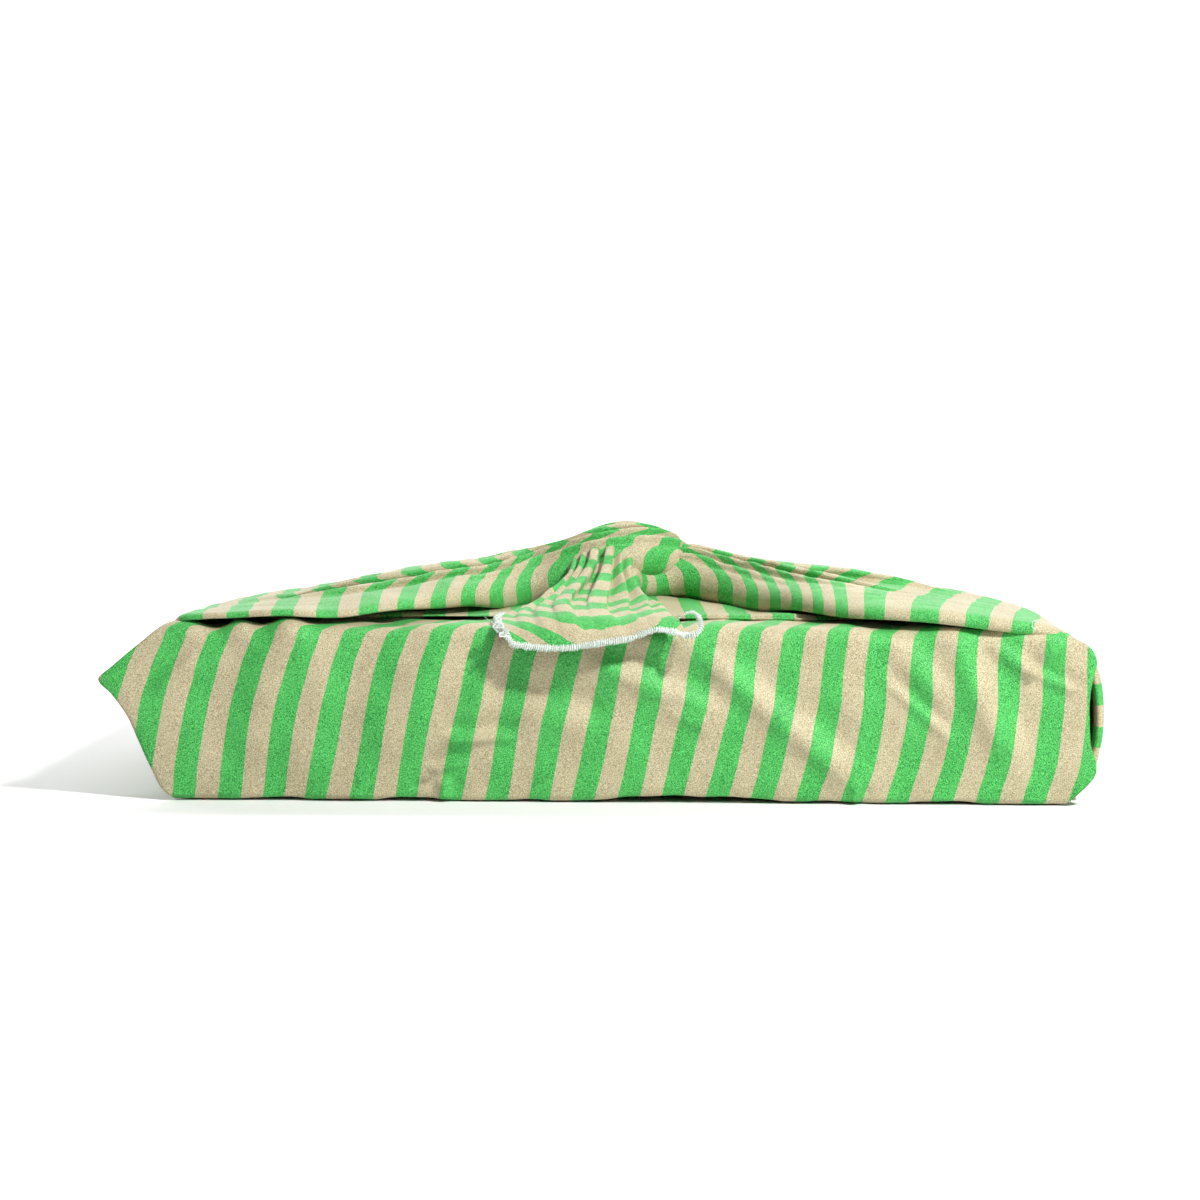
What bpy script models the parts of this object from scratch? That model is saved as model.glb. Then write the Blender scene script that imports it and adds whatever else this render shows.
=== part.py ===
"""A flat parcel wrapped in one square of striped furoshiki cloth, tied on top with both tails loose.

The wrap is a single piece of cloth, so it is a single solid: the box-shaped body, the pinched folds at its
corners, the two gathered bands that rise from the ends, the knot and the two tails are lofted one by one and
joined. X runs along the parcel to the right, Y to the back, Z up, and the origin is the middle of the flat base.
The tables are in millimetres, which MM turns into metres.
"""

import math

import bmesh
import bpy
from mathutils import Vector

MM = 0.001

# Driving dimensions, in millimetres.
HALF_LENGTH = 207.0
HALF_DEPTH = 110.0
ROOT = 60.0  # how low the forms on top are rooted in the body
FOLD_RIM = 0.6  # how far a corner fold's rim is rounded off
TAIL_THICKNESS = 2.4
CORNER_STEPS = 4  # faces round each rounded corner of a section
BAND_STEPS = 26  # faces across a band
STRAND_SIDES = 14
TAIL_COLUMNS = 14

# The body's cross-sections from left to right: a rounded rectangle in the YZ plane at each x.
# x, front, back, low, high, radius at the foot, radius at the brow
BODY = (
    (-207, -105, 101, 8, 73, 7, 9),
    (-203, -109, 106, 2, 78, 5, 8),
    (-194, -110, 109, 0, 80, 4, 7),
    (-130, -111, 111, 0, 80, 3, 6),
    (-60, -111, 112, 0, 79.5, 3, 6),
    (0, -110.5, 111, 0, 79, 3, 7),
    (70, -111, 112, 0, 79, 3, 6),
    (140, -111, 110, 0, 79.5, 3, 6),
    (188, -110, 108, 0, 79, 4, 8),
    (198, -109, 106, 1, 76, 6, 9),
    (205, -106, 101, 8, 72, 7, 10),
)

# The cloth drawn up over each end, from inside the body outwards.
# x past the end, front, back, low, high, radius at the foot, radius at the brow
END_PAD = (
    (-8, -98, 100, 2, 77, 6, 8),
    (0, -97, 99, 4, 76, 8, 10),
    (4, -94, 94, 9, 70, 9, 12),
    (6, -84, 84, 18, 60, 9, 12),
)

# The pinched folds that stand out from the four corners: side and the y of the fold's outer face, then rows of
# x past the end, low, high, thickness.
FRONT_LEFT_WING = (
    (-12, 2, 79, 9),
    (0, 2, 80.5, 8),
    (7, 12, 76, 6),
    (13, 26, 72, 4.5),
    (20, 39, 66.5, 3.5),
    (27, 47.5, 61, 2.8),
    (33, 54, 56.5, 2.2),
)
FRONT_RIGHT_FOLD = (
    (-14, 2, 76, 9),
    (-9, 3, 75.5, 8),
    (-4, 8, 73, 6),
    (2, 12, 70, 4),
    (4.5, 15, 66, 3),
)
BACK_LEFT_FOLD = (
    (-14, 3, 77, 9),
    (-4, 6, 76, 7),
    (4, 22, 70, 4),
    (10, 44, 60, 2.6),
)
BACK_RIGHT_FOLD = (
    (-14, 3, 76, 9),
    (-6, 5, 75, 8),
    (4, 14, 69, 5),
    (12, 30, 58, 3.4),
    (17, 40, 48, 2.4),
)

# The gathered bands, from each end in to the knot.
# in from the end, front edge, back edge, height of the edges, height of the crest, pleat depth
LEFT_BAND = (
    (3, -103, 98, 76, 77, 0),
    (9, -107, 102, 80.5, 81.5, 0.3),
    (22, -109, 103, 84, 86, 0.8),
    (45, -109, 98, 86, 89, 1.6),
    (70, -107, 89, 87, 92.5, 2.2),
    (98, -95, 76, 88, 96, 2.6),
    (125, -70, 58, 90, 99.5, 2.8),
    (148, -44, 40, 92, 103, 2.8),
    (170, -26, 25, 94, 106, 2.4),
    (190, -19, 18, 94, 105, 1.6),
    (213, -17, 16, 91, 100, 1.2),
)
RIGHT_BAND = (
    (3, -101, 96, 72, 73, 0),
    (12, -106, 101, 77, 79, 0.3),
    (26, -110, 102, 83, 84.5, 0.8),
    (46, -112, 97, 86, 88, 1.4),
    (72, -111, 88, 87, 93, 2.0),
    (102, -98, 74, 88, 96.5, 2.6),
    (128, -72, 55, 90, 100, 2.8),
    (150, -43, 38, 92, 103, 2.8),
    (170, -26, 25, 94, 105, 2.4),
    (190, -18, 19, 94, 104, 1.6),
    (213, -16, 17, 91, 99, 1.2),
)
LEFT_ROLL = 3.2  # thickness of the turned-under edges
RIGHT_ROLL = 6.0
EDGE_OVERHANG = 11.0
CROWN_FULLNESS = 0.7  # under 1 the crown rises faster from its edges
PLEAT_RIDGES = 4.5  # ridges across a band
PLEAT_LEVEL = 0.6  # how much of a pleat lies below the crown's own line

# The flap folded over the top, under the bands: x, front fold, back, height
TOP_FLAP = (
    (-188, -66, 100, 81),
    (-60, -70, 102, 82),
    (60, -76, 102, 82),
    (188, -80, 100, 81),
)

# The knot's two strands, each from its band to its tail: x, y, z, half width, half height
OVER_STRAND = (
    (-64, 0, 89, 17, 9),
    (-46, -1, 93, 20, 13),
    (-29, -5, 98, 21, 15),
    (-13, -7, 104, 20, 15),
    (2, -3, 107, 19, 13.5),
    (12, 6, 105, 19, 13.5),
    (16, 18, 98, 18, 14),
    (14, 31, 91.5, 18, 11),
    (11, 43, 88, 20, 7),
    (10, 55, 86, 24, 3),
)
UNDER_STRAND = (
    (64, 2, 89, 17, 9),
    (46, 4, 93, 20, 13),
    (29, 7, 97, 21, 14.5),
    (12, 6, 95.5, 20, 13.5),
    (-2, -2, 95.5, 19, 13.5),
    (-10, -13, 98, 19, 14),
    (-12, -25, 96, 18, 13.5),
    (-12, -37, 91, 19, 11),
    (-12, -48, 88, 22, 7),
    (-13, -59, 86, 26, 3),
)
STRAND_LOBES = 4  # swells round a strand, where its pleats bunch
STRAND_SWELL = 0.08

# The tails, from the knot out to the hem: y, z, left, right, and how far the left and right edges
# lie below the middle.
FRONT_TAIL = (
    (-30, 93, -26, 4, 5, 5),
    (-44, 90.5, -35, 10, 4, 4),
    (-60, 88.5, -47, 15, 3, 3),
    (-80, 87, -57, 18, 2, 2),
    (-98, 86.3, -62, 20, 2, 1),
    (-110, 84.5, -61, 22, 2.5, 1),
    (-117, 80.5, -57, 25, 4, 0.5),
    (-119.5, 75.5, -51, 27, 4, -2),
)
BACK_TAIL = (
    (34, 93, -4, 22, 5, 5),
    (48, 90.5, -16, 32, 3, 4),
    (64, 88, -28, 42, 2, 3),
    (82, 86.5, -37, 50, 0, 3),
    (101, 85, -42, 55, 0, 3),
    (113, 81, -41, 55, 0, 5),
    (117, 73, -36, 48, -4, 8),
    (118, 67, -24, 40, -8, 8),
)
TAIL_WAVE = 0.9  # height of the tails' gentle waves
TAIL_WAVES = 1.25  # waves across a tail
TAIL_LEAN = 0.008  # how much shorter a tail's underside is


def new_collection(name):
    collection = bpy.data.collections.new(name)
    bpy.context.scene.collection.children.link(collection)
    return collection


def mesh_object(name, bm, collection):
    """Turns a bmesh in millimetres into an object in metres with its faces pointing out."""
    bmesh.ops.scale(bm, vec=(MM, MM, MM), verts=bm.verts)
    bmesh.ops.recalc_face_normals(bm, faces=bm.faces)
    mesh = bpy.data.meshes.new(name)
    bm.to_mesh(mesh)
    bm.free()
    thing = bpy.data.objects.new(name, mesh)
    collection.objects.link(thing)
    return thing


def loft(name, rings, collection):
    """A closed solid through rings of equally many points, with a flat cap on each end."""
    bm = bmesh.new()
    loops = [[bm.verts.new(point) for point in ring] for ring in rings]
    count = len(loops[0])
    for near, far in zip(loops, loops[1:]):
        for i in range(count):
            j = (i + 1) % count
            bm.faces.new((near[i], near[j], far[j], far[i]))
    for cap in (loops[0], loops[-1]):
        bm.faces.new(cap)
    bmesh.ops.triangulate(bm, faces=bm.faces[:], quad_method="SHORT_EDGE")
    return mesh_object(name, bm, collection)


def rounded_section(x, front, back, low, high, foot, brow):
    """A rounded rectangle in the YZ plane at x, from the front of the foot round by the back."""
    corners = (
        (back - foot, low + foot, foot, -90),
        (back - brow, high - brow, brow, 0),
        (front + brow, high - brow, brow, 90),
        (front + foot, low + foot, foot, 180),
    )
    ring = []
    for y, z, radius, start in corners:
        for step in range(CORNER_STEPS + 1):
            turn = math.radians(start + 90 * step / CORNER_STEPS)
            ring.append((x, y + radius * math.cos(turn), z + radius * math.sin(turn)))
    return ring


def end_pad(name, side, collection):
    """The cloth that is drawn up over one end; side is -1 on the left and 1 on the right."""
    rings = [rounded_section(side * (HALF_LENGTH + past), *rest) for past, *rest in END_PAD]
    return loft(name, rings, collection)


def corner_fold(name, side, face, rows, collection):
    """A pinched double layer whose outer face lies at y = face and which thins towards its rim."""
    inward = -math.copysign(1, face)
    rings = []
    for past, low, high, thickness in rows:
        x = side * (HALF_LENGTH + past)
        inner = face + inward * thickness
        middle = face + inward * thickness / 2
        ring = [(x, face, low + FOLD_RIM), (x, face, high - FOLD_RIM), (x, middle, high)]
        rings.append(ring + [(x, inner, high - FOLD_RIM), (x, inner, low + FOLD_RIM), (x, middle, low)])
    return loft(name, rings, collection)


def band_section(side, inward, front, back, edge, crest, pleat, roll):
    """One section of a band: a pleated crown between two turned-under edges, rooted in the body."""
    x = side * (HALF_LENGTH - inward)
    overhang = min(EDGE_OVERHANG, (back - front) / 4)
    ring = [(x, front, edge - roll / 2)]
    for step in range(1, BAND_STEPS):
        share = step / BAND_STEPS
        arch = math.sin(math.pi * share)
        crown = (crest - edge) * arch**CROWN_FULLNESS
        ridge = pleat * (abs(math.sin(math.pi * PLEAT_RIDGES * share)) - PLEAT_LEVEL) * arch
        ring.append((x, front + (back - front) * share, edge + crown + ridge))
    ring.append((x, back, edge - roll / 2))
    for y in (back - roll / 2, back - overhang):
        ring.append((x, y, edge - roll))
    ring += [(x, back - overhang - 1, ROOT), (x, front + overhang + 1, ROOT)]
    for y in (front + overhang, front + roll / 2):
        ring.append((x, y, edge - roll))
    return ring


def band(name, side, rows, roll, collection):
    return loft(name, [band_section(side, *row, roll) for row in rows], collection)


def top_flap(name, collection):
    rings = []
    for x, front, back, high in TOP_FLAP:
        ring = [(x, front, high - 1), (x, front + 1.5, high), (x, back - 3, high)]
        rings.append(ring + [(x, back, high - 4), (x, back, ROOT), (x, front, ROOT)])
    return loft(name, rings, collection)


def strand(name, rows, collection):
    """A gathered strand of the knot: an oval section swept along its own course."""
    course = [Vector(row[:3]) for row in rows]
    rings = []
    for index, (here, row) in enumerate(zip(course, rows)):
        ahead = course[min(index + 1, len(course) - 1)]
        behind = course[max(index - 1, 0)]
        along = (ahead - behind).normalized()
        across = along.cross(Vector((0, 0, 1))).normalized()
        upward = across.cross(along)
        half_width, half_height = row[3:]
        ring = []
        for step in range(STRAND_SIDES):
            turn = 2 * math.pi * step / STRAND_SIDES
            swell = 1 + STRAND_SWELL * math.cos(STRAND_LOBES * turn)
            offset = across * (half_width * math.cos(turn)) + upward * (half_height * math.sin(turn))
            ring.append(here + offset * swell)
        rings.append(ring)
    return loft(name, rings, collection)


def tail(name, rows, collection):
    """A tail as a curved sheet with a thickness: rows run from the knot to the hem."""
    rings = []
    for y, z, left, right, left_drop, right_drop in rows:
        top, under = [], []
        for step in range(TAIL_COLUMNS + 1):
            share = step / TAIL_COLUMNS
            x = left + (right - left) * share
            drop = left_drop * (1 - share) ** 2 + right_drop * share**2
            height = z - drop + TAIL_WAVE * math.sin(2 * math.pi * TAIL_WAVES * share)
            top.append((x, y, height))
            under.append((x, y * (1 - TAIL_LEAN), height - TAIL_THICKNESS))
        rings.append(top + under[::-1])
    return loft(name, rings, collection)


def cloth_material():
    material = bpy.data.materials.new("striped_cotton")
    material.use_nodes = True
    shader = material.node_tree.nodes["Principled BSDF"]
    shader.inputs["Base Color"].default_value = (0.10, 0.42, 0.12, 1)
    shader.inputs["Roughness"].default_value = 0.7
    shader.inputs["Metallic"].default_value = 0.0
    return material


def join_all(body, others):
    for other in others:
        other.hide_render = True
        other.display_type = "WIRE"
        union = body.modifiers.new("join_" + other.name, "BOOLEAN")
        union.operation = "UNION"
        union.solver = "EXACT"
        union.use_self = True
        union.object = other


for old in list(bpy.data.objects):
    bpy.data.objects.remove(old, do_unlink=True)

parcel = new_collection("furoshiki_wrap")
forms = new_collection("cutters")
wrap = loft("wrap_cloth", [rounded_section(*row) for row in BODY], parcel)
wrap.data.materials.append(cloth_material())
join_all(
    wrap,
    (
        end_pad("left_end", -1, forms),
        end_pad("right_end", 1, forms),
        corner_fold("front_left_wing", -1, -HALF_DEPTH - 0.4, FRONT_LEFT_WING, forms),
        corner_fold("front_right_fold", 1, -HALF_DEPTH + 0.7, FRONT_RIGHT_FOLD, forms),
        corner_fold("back_left_fold", -1, HALF_DEPTH - 0.6, BACK_LEFT_FOLD, forms),
        corner_fold("back_right_fold", 1, HALF_DEPTH - 1.3, BACK_RIGHT_FOLD, forms),
        top_flap("top_flap", forms),
        band("left_band", -1, LEFT_BAND, LEFT_ROLL, forms),
        band("right_band", 1, RIGHT_BAND, RIGHT_ROLL, forms),
        strand("under_strand", UNDER_STRAND, forms),
        strand("over_strand", OVER_STRAND, forms),
        tail("front_tail", FRONT_TAIL, forms),
        tail("back_tail", BACK_TAIL, forms),
    ),
)
wrap.data.shade_smooth()
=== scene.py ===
"""A flat parcel wrapped in one square of green and tan striped furoshiki cloth, tied on top.

The cloth is laid the way it is tied: first the strip that goes round the box from front to back, then the
two lengths that rise over the ends, gather into bands, cross in the knot and fan out as tails. The overlocked
edge and its loose threads follow, then the studio and the camera. Lengths are in millimetres unless a comment
says so.
"""

import math

import bpy
import numpy as np
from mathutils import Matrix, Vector


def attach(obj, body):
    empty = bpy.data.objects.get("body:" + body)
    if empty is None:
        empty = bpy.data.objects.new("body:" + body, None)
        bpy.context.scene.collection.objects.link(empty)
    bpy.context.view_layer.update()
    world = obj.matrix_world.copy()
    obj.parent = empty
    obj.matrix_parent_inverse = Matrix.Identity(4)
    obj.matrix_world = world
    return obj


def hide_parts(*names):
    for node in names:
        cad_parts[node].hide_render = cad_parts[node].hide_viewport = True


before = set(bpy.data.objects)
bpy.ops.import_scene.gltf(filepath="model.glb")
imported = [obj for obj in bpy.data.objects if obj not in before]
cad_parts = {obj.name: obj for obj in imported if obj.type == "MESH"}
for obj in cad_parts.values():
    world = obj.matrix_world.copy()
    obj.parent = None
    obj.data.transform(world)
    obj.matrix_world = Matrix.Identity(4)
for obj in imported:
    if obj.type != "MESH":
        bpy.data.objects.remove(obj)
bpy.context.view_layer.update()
MM = 0.001


# ---- The strip round the box ------------------------------------------------------------------------------
# The front panel of the one square of cloth. It comes forward off the top, rolls over the front edge, goes
# down to the foot and tucks under. At each end it is pinched into a flat double fold, the left a long wing.

LENGTH_HALF = 207.0  # half of the wrapped box's length
DEPTH_HALF = 110.4  # half of its depth, out to the cloth
HEIGHT = 80.0  # the box's height
TOP = 79.8  # height of the cloth that lies straight on the box
END_INSIDE = 197.0  # x at which the cloth turned back at a corner meets the box's end

# Where the front panel's folds at its two ends lie: height, x of the left rim, x of the right rim
FRONT_RIMS = (
    (0, -206, 198),
    (4.5, -211, 203),
    (13.5, -216, 211),
    (29, -223, 208.8),
    (38, -227, 208.2),
    (48, -234, 208.2),
    (55, -240, 209),
    (60, -234.5, 210),
    (66.5, -227, 211),
    (73, -219, 207),
    (76.5, -214.5, 201),
    (80, -209, 194),
)
# The same for the back
BACK_RIMS = (
    (0, -203, 198),
    (6, -209, 204),
    (14, -211, 212),
    (22, -212, 217),
    (30, -213.5, 221),
    (40, -216, 224),
    (48, -217, 222),
    (60, -214, 218),
    (70, -212, 211),
    (77, -207.5, 203),
    (80, -202, 198),
)
# Creases of the front panel: from x, z to x, z, how far it stands out, and its width
FRONT_CREASES = (
    (102, 10, 32, 68, 1.5, 6.5),
    (38, 41, -16, 64, 1.3, 5.5),
    (36, 34, 16, 42, 0.6, 3.5),
    (-54, 30, -82, 28, 1.4, 2.8),
    (-74, 18, -90, 14, 1.0, 2.2),
    (-98, 6, -92, 9, -0.9, 1.6),
    (-84, 0, -83, 10, 1.3, 3.2),
    (-44, 52, -12, 44, -1.4, 7.0),
    (-57, 76, -70, 44, 0.9, 5.0),
    (144, 31, 116, 56, 0.7, 2.6),
    (142, 48, 116, 76, 1.2, 7.0),
    (172, 22, 146, 74, 1.7, 8.0),
    (181, 58, 193, 73, 0.9, 2.0),
    (202, 52, 178, 62, 0.8, 2.4),
    (182, 60, 162, 74, 0.9, 4.0),
    (146, 24, 126, 3, 0.5, 2.0),
    (-160, 70, -172, 22, 0.8, 9.0),
    (-125, 62, -134, 16, -0.8, 8.0),
    (-196, 64, -214, 50, 0.9, 4.0),
    (102, 0, 104, 9, 1.2, 2.6),
)
# How far the front's stripes have run to the right of where they are at mid height: height, then how far at
# the left end, the middle and the right end
STRIPE_LEAN = (
    (0, -7.8, -9.2, -7.6),
    (6, -7.0, -7.9, -6.2),
    (14, -6.4, -6.0, -3.5),
    (24, -5.1, -4.0, -1.4),
    (34, -3.7, -2.1, -0.1),
    (46, -1.6, 0.5, 0.9),
    (54, 0.9, 1.6, 0.8),
    (64, 4.0, 3.2, 0.5),
    (72, 7.6, 5.2, 1.0),
    (80, 10.3, 7.1, 1.9),
)
# The ripples of its upper edge, where the cloth is eased over the box: x, rise
BROW_RIPPLES = ((-215, 0), (-200, 1.7), (-186, -1.1), (-177, 1.8), (-167, -1.0), (-155, 1.8), (-143, -1.1))
BROW_RIPPLES += ((-125, 1.1), (-108, -0.3), (-80, 0.4), (-50, -0.4), (-20, 0.5), (10, -0.5), (40, 0.4))
BROW_RIPPLES += ((70, -0.4), (98, 0.7), (118, -0.3), (140, 0.6), (158, -0.5), (176, 0.5), (194, 0))
# The panel's course from the top over the front edge and under the foot: y, z, radius of the corner there
FRONT_COURSE = ((-58, TOP, 0), (-DEPTH_HALF, TOP, 7.0), (-DEPTH_HALF, 0.3, 2.6), (-98, 0.3, 0))
FRONT_ROWS = (2.4, 1.3, 3.0)  # how far apart the grid's rows are on each run of that course
FRONT_COLUMNS = 280  # of the grid, from rim to rim
FRONT_FOLD = 7.0  # how far behind the face the cloth turns back at its rims
TOP_FROM, TOP_OVER = -106, 8  # y from which the panel comes onto the top, and over what distance
LEFT_DRAWN, RIGHT_DRAWN = 11, 6  # how far its rims draw in on the way there
CREASE_RELIEF = 2.6  # the creases stand out this many times as far as their table says
BROAD_RISE, BROAD_SIZE = 0.85, 80  # its broad unevenness
FINE_RISE, FINE_SIZE = 0.42, 28  # and its finer one
BELLY = 0.9  # how far it bulges at mid height
BROW_AT, BROW_SPREAD = 78, 4.5  # height of the upper edge's ripples, and how far up and down they reach
# The foot is rounder and stands a little off the table at this x, fading out to the left and to the right
FOOT_X, FOOT_LEFT, FOOT_RIGHT = 2, 16, 62
FOOT_IN, FOOT_UP, FOOT_HEIGHT = 1.8, 1.4, 8  # how far it is drawn in and lifted there, and up to what height
TABLE_GAP = 0.15  # the least height of the cloth above the table
FULL_TURN = 6.28  # a whole turn in radians, near enough for what only has to look uneven


def flow(rows, at):
    """The columns of a table at the places at of its first column, along a smooth curve through its rows."""
    rows = np.array(rows, float)
    place, value = rows[:, 0], rows[:, 1:]
    slope = np.gradient(value, place, axis=0)
    i = np.clip(np.searchsorted(place, at, side="right") - 1, 0, len(place) - 2)
    step = (place[i + 1] - place[i])[..., None]
    t = np.clip((np.asarray(at) - place[i])[..., None] / step, 0, 1)
    rest = 1 - t
    near = value[i] * (1 + 2 * t) + slope[i] * step * t
    far = value[i + 1] * (3 - 2 * t) - slope[i + 1] * step * rest
    return near * rest**2 + far * t**2


def bell(off):
    """1 where off is 0, falling smoothly away on both sides."""
    return np.exp(-(off**2))


def ramp(value, start, reach):
    """0 up to start, then rising evenly to 1 over reach."""
    return np.clip((value - start) / reach, 0, 1)


def ripple(a, b, size, seed, count=7):
    """Gentle unevenness over a and b, about 1 high and size across: several waves that cross each other."""
    draw = np.random.default_rng(seed)
    total = 0.0
    for turn, stretch, phase in draw.uniform((0, 0.6, 0), (FULL_TURN, 1.6, FULL_TURN), (count, 3)):
        total = total + np.sin((a * np.cos(turn) + b * np.sin(turn)) * FULL_TURN / (size * stretch) + phase)
    return total / math.sqrt(count)


def creases(a, b, rows):
    """Soft ridges, or troughs where the rise is negative, each with a shallow dip along one side."""
    total = np.zeros(np.broadcast(a, b).shape)
    full, fading = 0.3, 0.22  # shares of its run, either way from the middle: at full height, then fading out
    dip, dip_off, dip_width = 0.5, 1.7, 1.4  # the dip's depth, place and width, against the ridge's
    for a0, b0, a1, b1, rise, width in rows:
        run = np.array((a1 - a0, b1 - b0), float)
        reach = np.hypot(*run)
        along = ((a - a0) * run[0] + (b - b0) * run[1]) / reach**2
        off = ((a - a0) * run[1] - (b - b0) * run[0]) / reach
        fade = bell(np.clip(np.abs(along - 0.5) - full, 0, None) / fading)
        ridge = bell(off / width) - dip * bell((off - dip_off * width) / (dip_width * width))
        total += rise * ridge * fade
    return total


def trace(corners, spacing, turns=6):
    """Points along straight runs with rounded corners: corners as (y, z, radius), spacing for each run."""
    spots = [np.array(corner[:2], float) for corner in corners]
    line, start = [], spots[0]
    for k, gap in enumerate(spacing):
        end, after = spots[k + 1], None
        if k + 2 < len(spots):
            into = (spots[k] - end) / np.hypot(*(spots[k] - end))
            out = (spots[k + 2] - end) / np.hypot(*(spots[k + 2] - end))
            half = math.acos(np.clip(into @ out, -1, 1)) / 2
            cut = corners[k + 1][2] / math.tan(half)
            after = (end + into * cut, end + out * cut, end + (into + out) * cut / (2 * math.cos(half) ** 2))
        stop = after[0] if after else end
        count = max(1, round(np.hypot(*(stop - start)) / gap))
        line += [start + (stop - start) * step / count for step in range(count)]
        if after:
            first, last, middle = after
            for step in range(turns):
                way = (first - middle) * (1 - step / turns) + (last - middle) * (step / turns)
                line.append(middle + way / np.hypot(*way) * corners[k + 1][2])
            start = last
    return np.array(line + [spots[-1]])


def inward_of(line):
    """The unit vectors, in the YZ plane, that point from the line into the parcel."""
    run = np.gradient(line, axis=0)
    run /= np.hypot(run[:, 0], run[:, 1])[:, None]
    return np.stack([-run[:, 1], run[:, 0]], axis=1)


def across_with_folds(left, right, columns, gap, wrap):
    """For each row, x from rim to rim, and how far in from the face each point is.

    Past each rim the cloth turns back to the parcel's end, gap behind the face, and runs on along the end
    where wrap is 1.
    """
    outer = np.linspace(0, 1, columns)
    way = np.linspace(0, 1, 9)[1:]
    end_out, end_deep = np.array([3.0, 5.0, 5.5]), np.array([4.0, 12.0, 40.0])  # its three columns on the end
    x = [left[:, None] + (right - left)[:, None] * outer]
    deep = [np.zeros((len(left), columns))]
    for side, rim in ((-1, left), (1, right)):
        corner = side * np.minimum(np.abs(rim) - 2, END_INSIDE)[:, None]
        under = rim[:, None] * (1 - way**1.3) + corner * way**1.3
        depth = gap * (0.3 + 0.7 * way) * np.ones_like(under)
        under = np.concatenate([under, corner + side * end_out], axis=1)
        depth = np.concatenate([depth, gap + wrap[:, None] * end_deep], axis=1)
        if side < 0:
            x.insert(0, under[:, ::-1])
            deep.insert(0, depth[:, ::-1])
        else:
            x.append(under)
            deep.append(depth)
    return np.concatenate(x, axis=1), np.concatenate(deep, axis=1)


def run_along(line):
    """How far along the line each of its points is."""
    return np.concatenate([[0], np.cumsum(np.linalg.norm(np.diff(line, axis=0), axis=1))])


def stripe_lean(x, z):
    """How far the front's stripes have run to the right at height z, on a curve through the table's rows."""
    share = np.clip((x + LENGTH_HALF) / (2 * LENGTH_HALF), 0, 1)
    left, middle, right = np.moveaxis(flow(STRIPE_LEAN, z + 0 * x), -1, 0)
    near = (1 - share) * (1 - 2 * share) * left + 4 * share * (1 - share) * middle
    return near + share * (2 * share - 1) * right


sheets = []  # every length of the cloth: its points and its flat coordinates, both as grids


def front_panel():
    """The panel that shows in front, with its creases, its rippled upper edge and its uneven foot."""
    line = trace(FRONT_COURSE, FRONT_ROWS)
    inward = inward_of(line)
    rims = flow(FRONT_RIMS, line[:, 1])
    on_top = ramp(line[:, 0], TOP_FROM, TOP_OVER)
    left = rims[:, 0] + LEFT_DRAWN * on_top
    right = rims[:, 1] - RIGHT_DRAWN * on_top
    facing_front = np.clip(inward[:, 0] * 2 - 1, 0, 1)
    x, deep = across_with_folds(left, right, FRONT_COLUMNS, FRONT_FOLD, facing_front)
    y, z = line[:, :1], line[:, 1:]
    along = run_along(line)[:, None]
    facing = np.clip(inward[:, :1], 0, 1)
    uneven = BROAD_RISE * ripple(x, along, BROAD_SIZE, seed=3)
    relief = CREASE_RELIEF * creases(x, z, FRONT_CREASES) * facing + uneven
    bulge = BELLY * np.sin(math.pi * np.clip(z / HEIGHT, 0, 1))
    relief += FINE_RISE * ripple(x, along * 0.7, FINE_SIZE, seed=5) + bulge * facing
    brow = bell((z - BROW_AT) / BROW_SPREAD) * (y < -90)
    relief += brow * flow(BROW_RIPPLES, x)[..., 0]

    foot = np.where(x < FOOT_X, bell((x - FOOT_X) / FOOT_LEFT), bell((x - FOOT_X) / FOOT_RIGHT))
    relief -= FOOT_IN * foot * np.clip(1 - z / FOOT_HEIGHT, 0, 1) ** 1.5
    tucked_under = (z < 6) & (facing < 0.9)
    relief = np.where(tucked_under, np.minimum(relief, 0), relief)
    rise = relief - deep
    py = y - inward[:, :1] * rise
    pz = np.maximum(z - inward[:, 1:] * rise, TABLE_GAP)
    pz = pz + FOOT_UP * foot * bell(pz / 7)

    # On the rolled edge, and less on the top, the stripes run off to the right, most at the left end
    pulled = 1.8 * np.clip(y + 108.8, 0, 6) + 0.8 * np.clip(y + 102.8, 0, None)
    pulled = pulled * (1 - 0.85 * np.clip(x / 380 + 0.5, 0, 1))
    u = x - stripe_lean(x, z) - pulled + 0.5 * ripple(x, along, 60, seed=8)
    sheets.append((np.stack([x, py, pz], axis=-1), np.stack([u, along + 0 * x], axis=-1)))


front_panel()

# The rest of the strip: under the box, up the back and forward over the top as a loose flap with its edge
# folded under, then the plain parts that lie hidden between the folds.
# Creases of the back: from x, z to x, z, how far it stands out, and its width
BACK_CREASES = (
    (-150, 20, -120, 60, 1.1, 6.0),
    (-60, 66, -52, 24, -1.1, 6.5),
    (10, 60, 30, 20, 1.2, 7.0),
    (90, 26, 110, 52, -0.9, 4.0),
    (150, 64, 166, 24, 1.0, 6.0),
    (-190, 60, -176, 30, 0.9, 5.0),
)
# Creases of the flap: from x, y to x, y, how far it stands out, and its width
FLAP_CREASES = (
    (-60, -60, -30, 60, 0.9, 5.0),
    (70, -66, 60, 40, 0.8, 6.0),
    (20, -70, 26, 30, -0.7, 5.0),
    (-100, -70, -70, -30, 0.8, 3.5),
)
FLAP_FOLD = -72.0  # y of the flap's folded edge
# The flap's two sides: y, x of the left side, x of the right side
FLAP_SIDES = ((-75, -169, 167), (60, -175, 173), (90, -181, 177), (100, -191, 184), (111, -200, 198))
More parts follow.
